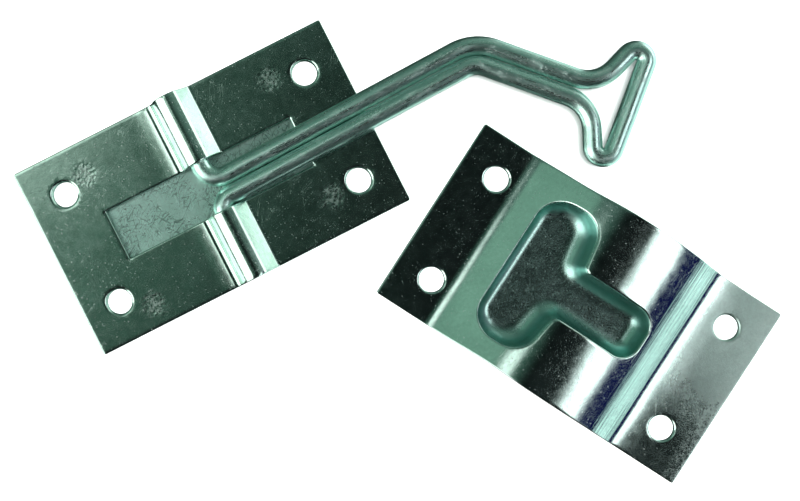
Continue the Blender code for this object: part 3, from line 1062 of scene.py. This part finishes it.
def press_traces_and_painted_shade(g, flat, place, colour, rough, normal):
    """The press's traces: fine lines along the socket plate's steep side, a matt pocket and flange, and
    painted shade that darkens the pocket's walls and floor.
    """
    shifted = g.mapped(place, scale=(1 / MM,) * 3, location=(-SOCKET_CENTRE.x, -SOCKET_CENTRE.y, 0))
    local = g.mapped(shifted, rotation=(0, 0, -SOCKET_TURN))
    along = g.parts(local)["X"]
    rising = g.spread(along, 15.5, 18.5, smooth=True)
    falling = g.spread(along, 24.5, 25.5, 1.0, 0.0, smooth=True)
    lines = g.noise(g.mapped(local, scale=(2.2, 0.025, 0.0)), 1.0, 3.0, 0.6)
    masked = g.math("MULTIPLY", g.math("MULTIPLY", rising, falling), lines)
    # The drawn attribute makes the pocket and one flange matt; it also tints and darkens the pocket's walls,
    # and less its floor, as painted shade.
    drawn = g.attribute("drawn")
    colour = g.mix(g.math("MULTIPLY", drawn, 0.9), colour, POCKET_PAINTED_SHADE_TINT)
    colour = g.mix(1.0, colour, g.mix(drawn, WHITE, POCKET_PAINTED_SHADE), "MULTIPLY")
    matt = g.math("ABSOLUTE", drawn)
    rough = g.math("ADD", rough, g.math("MULTIPLY", matt, PATCH_ROUGH))
    frost = g.math("MULTIPLY", matt, g.noise(flat, 1.6, 4.0, 0.75))
    return colour, rough, g.bump(frost, 0.05 * MM, 1.0, g.bump(masked, 0.06 * MM, 1.0, normal))


def dress(piece, material):
    piece.data.materials.clear()
    piece.data.materials.append(material)


# ---------------- stage, light and camera
CAMERA_HEIGHT = 0.320
CAMERA_SPOT = (0.0145, -0.0252)
CAMERA_ROLL = math.radians(-26.94)
CAMERA_LENS = 56.9
CAMERA_SENSOR = 36.0
CAMERA_SHIFT = 0.114
FLOOR_RADIUS = 2.0
FLOOR_GAP = 0.00005
FLOOR_COLOUR = (0.93, 0.95, 0.94, 1.0)
FLOOR_ROUGHNESS = 0.9
LAMP_HEIGHT = 1.6
LAMP_SIZE = 0.5
LAMP_POWER = 52.0


def build_camera():
    data = bpy.data.cameras.new("camera")
    data.lens = CAMERA_LENS
    data.sensor_width = CAMERA_SENSOR
    data.shift_x = CAMERA_SHIFT
    camera = new_object("camera", data)
    camera.location = (*CAMERA_SPOT, CAMERA_HEIGHT)
    camera.rotation_euler.z = CAMERA_ROLL
    bpy.context.scene.camera = camera


def build_floor():
    bm = bmesh.new()
    bmesh.ops.create_circle(bm, cap_ends=True, segments=96, radius=FLOOR_RADIUS)
    mesh = bpy.data.meshes.new("floor")
    bm.to_mesh(mesh)
    bm.free()
    floor = new_object("floor", mesh)
    floor.location.z = -FLOOR_GAP
    floor.visible_glossy = False
    material, _, shader = new_material("pale floor")
    shader.inputs["Base Color"].default_value = FLOOR_COLOUR
    shader.inputs["Roughness"].default_value = FLOOR_ROUGHNESS
    dress(floor, material)


def build_floor_light():
    """A soft light high over the camera that the plating doesn't mirror. It mostly lights the floor."""
    data = bpy.data.lights.new("overhead softbox", "AREA")
    data.shape = "DISK"
    data.size = LAMP_SIZE
    data.energy = LAMP_POWER
    lamp = new_object("overhead softbox", data)
    lamp.location = (*CAMERA_SPOT, LAMP_HEIGHT)
    lamp.visible_glossy = False


def studio_vector(right, up, height):
    """A vector in the plates' frame from one given as the camera sees it."""
    cos, sin = math.cos(CAMERA_ROLL), math.sin(CAMERA_ROLL)
    return Vector((right * cos - up * sin, right * sin + up * cos, height))


def studio_direction(bearing, tilt):
    """The direction at a bearing in the picture (0 right, 90 up) and a tilt from straight up."""
    bearing, tilt = math.radians(bearing), math.radians(tilt)
    reach = math.sin(tilt)
    return studio_vector(reach * math.cos(bearing), reach * math.sin(bearing), math.cos(tilt))


def build_studio():
    """The room that the plating mirrors: dark, with soft white, navy and mint cards round it.

    Numbers after a direction are components along it (sines), and a disc's numbers are degrees.
    """
    world = bpy.data.worlds.new("studio")
    bpy.context.scene.world = world
    world.use_nodes = True
    g = Graph(world.node_tree)
    background = world.node_tree.nodes["Background"]
    unit = g.node("ShaderNodeVectorMath", operation="NORMALIZE")
    g.link(g.node("ShaderNodeTexCoord").outputs["Generated"], unit.inputs[0])

    def limit(vector, low, high):
        """0 to 1 as the direction's component along a vector goes from low to high."""
        made = g.node("ShaderNodeVectorMath", operation="DOT_PRODUCT")
        g.link(unit.outputs["Vector"], made.inputs[0])
        made.inputs[1].default_value = vector
        return g.spread(made.outputs["Value"], low, high, smooth=True)

    def disc(bearing, tilt, inner, outer):
        """1 within the inner angle of a direction and 0 beyond the outer one."""
        return limit(
            studio_direction(bearing, tilt), math.cos(math.radians(outer)), math.cos(math.radians(inner)))

    def lay(base, colour, *limits):
        """Lays a card over the base, where all its limits hold."""
        mask = limits[0]
        for other in limits[1:]:
            mask = g.math("MULTIPLY", mask, other)
        return g.mix(mask, base, (*colour, 1.0))

    right = studio_vector(1, 0, 0)
    up = studio_vector(0, 1, 0)
    sky = Vector((0, 0, 1))
    dim_green, near_black = (0.050, 0.110, 0.085, 1.0), (0.004, 0.006, 0.006, 1.0)
    room = g.mix(limit(right, -0.22, 0.08), dim_green, near_black)
    room = lay(room, (0.008, 0.012, 0.012), limit(-up, 0.03, 0.16))
    room = lay(room, (0.070, 0.125, 0.105), limit(up, 0.12, 0.34))
    room = lay(room, (0.062, 0.128, 0.098), disc(178, 13, 2, 9))
    room = lay(room, (0.20, 0.36, 0.28), disc(147, 47, 15, 21))
    room = lay(room, (0.17, 0.26, 0.22), disc(70, 64, 24, 36))
    room = lay(
        room, (2.4, 2.5, 2.4), limit(-right, 0.31, 0.40), limit(-up, -0.06, 0.05), limit(sky, 0.10, 0.13),
        limit(studio_vector(-0.788, 0.616, 0), 0.0, 0.12))
    room = lay(room, (1.3, 1.45, 1.35), disc(152, 20, 3, 9))
    east = (
        limit(studio_vector(0.778, -0.628, 0), 0.33, 0.40), limit(studio_vector(1, 0.35, 0), 0.35, 0.47),
        limit(studio_vector(0.743, 0.669, 0), -0.02, 0.08))
    white, navy, mint = (2.4, 2.5, 2.5), (0.003, 0.005, 0.055), (0.85, 1.15, 1.10)
    room = lay(room, white, *east)
    room = lay(room, navy, limit(-sky, -0.66, -0.63), *east)
    room = lay(room, mint, limit(-sky, -0.27, -0.23), *east)
    room = lay(
        room, (2.1, 2.2, 2.1), limit(-sky, -0.32, -0.25), limit(up, 0.12, 0.28), limit(right, 0.45, 0.6))
    below = limit(-sky, 0.02, 0.10)
    room = lay(room, (0.030, 0.052, 0.043), below)
    room = lay(room, (1.0, 1.25, 1.15), below, limit(right, 0.25, 0.45))

    plain = g.node("ShaderNodeLightPath").outputs["Is Camera Ray"]
    g.link(g.mix(plain, room, WHITE), background.inputs["Color"])
    background.inputs["Strength"].default_value = 1.0


# ---------------- assembly
def main():
    build_camera()
    build_floor()
    build_floor_light()
    build_studio()
    scene = bpy.context.scene
    scene.view_settings.view_transform = "Standard"

    front = build_front_plate()
    back = build_back_plate()
    wire = build_wire()
    socket = build_socket_plate()

    dress(front, zinc(
        "front plate zinc", light=(0.68, 0.87, 0.79), dark=(0.54, 0.72, 0.64), roughness=(0.13, 0.19),
        seed=3.0, scratches=0.35, grain=0.006))
    dress(back, zinc(
        "back plate zinc", light=(0.72, 1.00, 0.92), dark=(0.64, 0.94, 0.85), roughness=(0.34, 0.42),
        seed=21.0, scratches=0.3, extra=scuffs))
    dress(wire, wire_zinc("wire zinc", light=(0.76, 1.00, 0.93), dark=(0.48, 0.77, 0.70), seed=9.0))
    dress(socket, zinc(
        "socket plate zinc", light=(0.74, 0.90, 0.85), dark=(0.62, 0.78, 0.73), roughness=(0.10, 0.17),
        seed=40.0, scratches=0.3, grain=0.006, extra=press_traces_and_painted_shade))

    for piece, body, slot, node in (
            (front, "hook_plate", "zinc_front_plate", "hook_front_plate"),
            (back, "hook_plate", "zinc_back_plate", "hook_back_plate"),
            (wire, "arm", "zinc_wire", "wire_arm"),
            (socket, "socket", "zinc_socket_plate", "socket_plate")):
        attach(piece, body)
        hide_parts(node)


main()
bpy.context.view_layer.update()
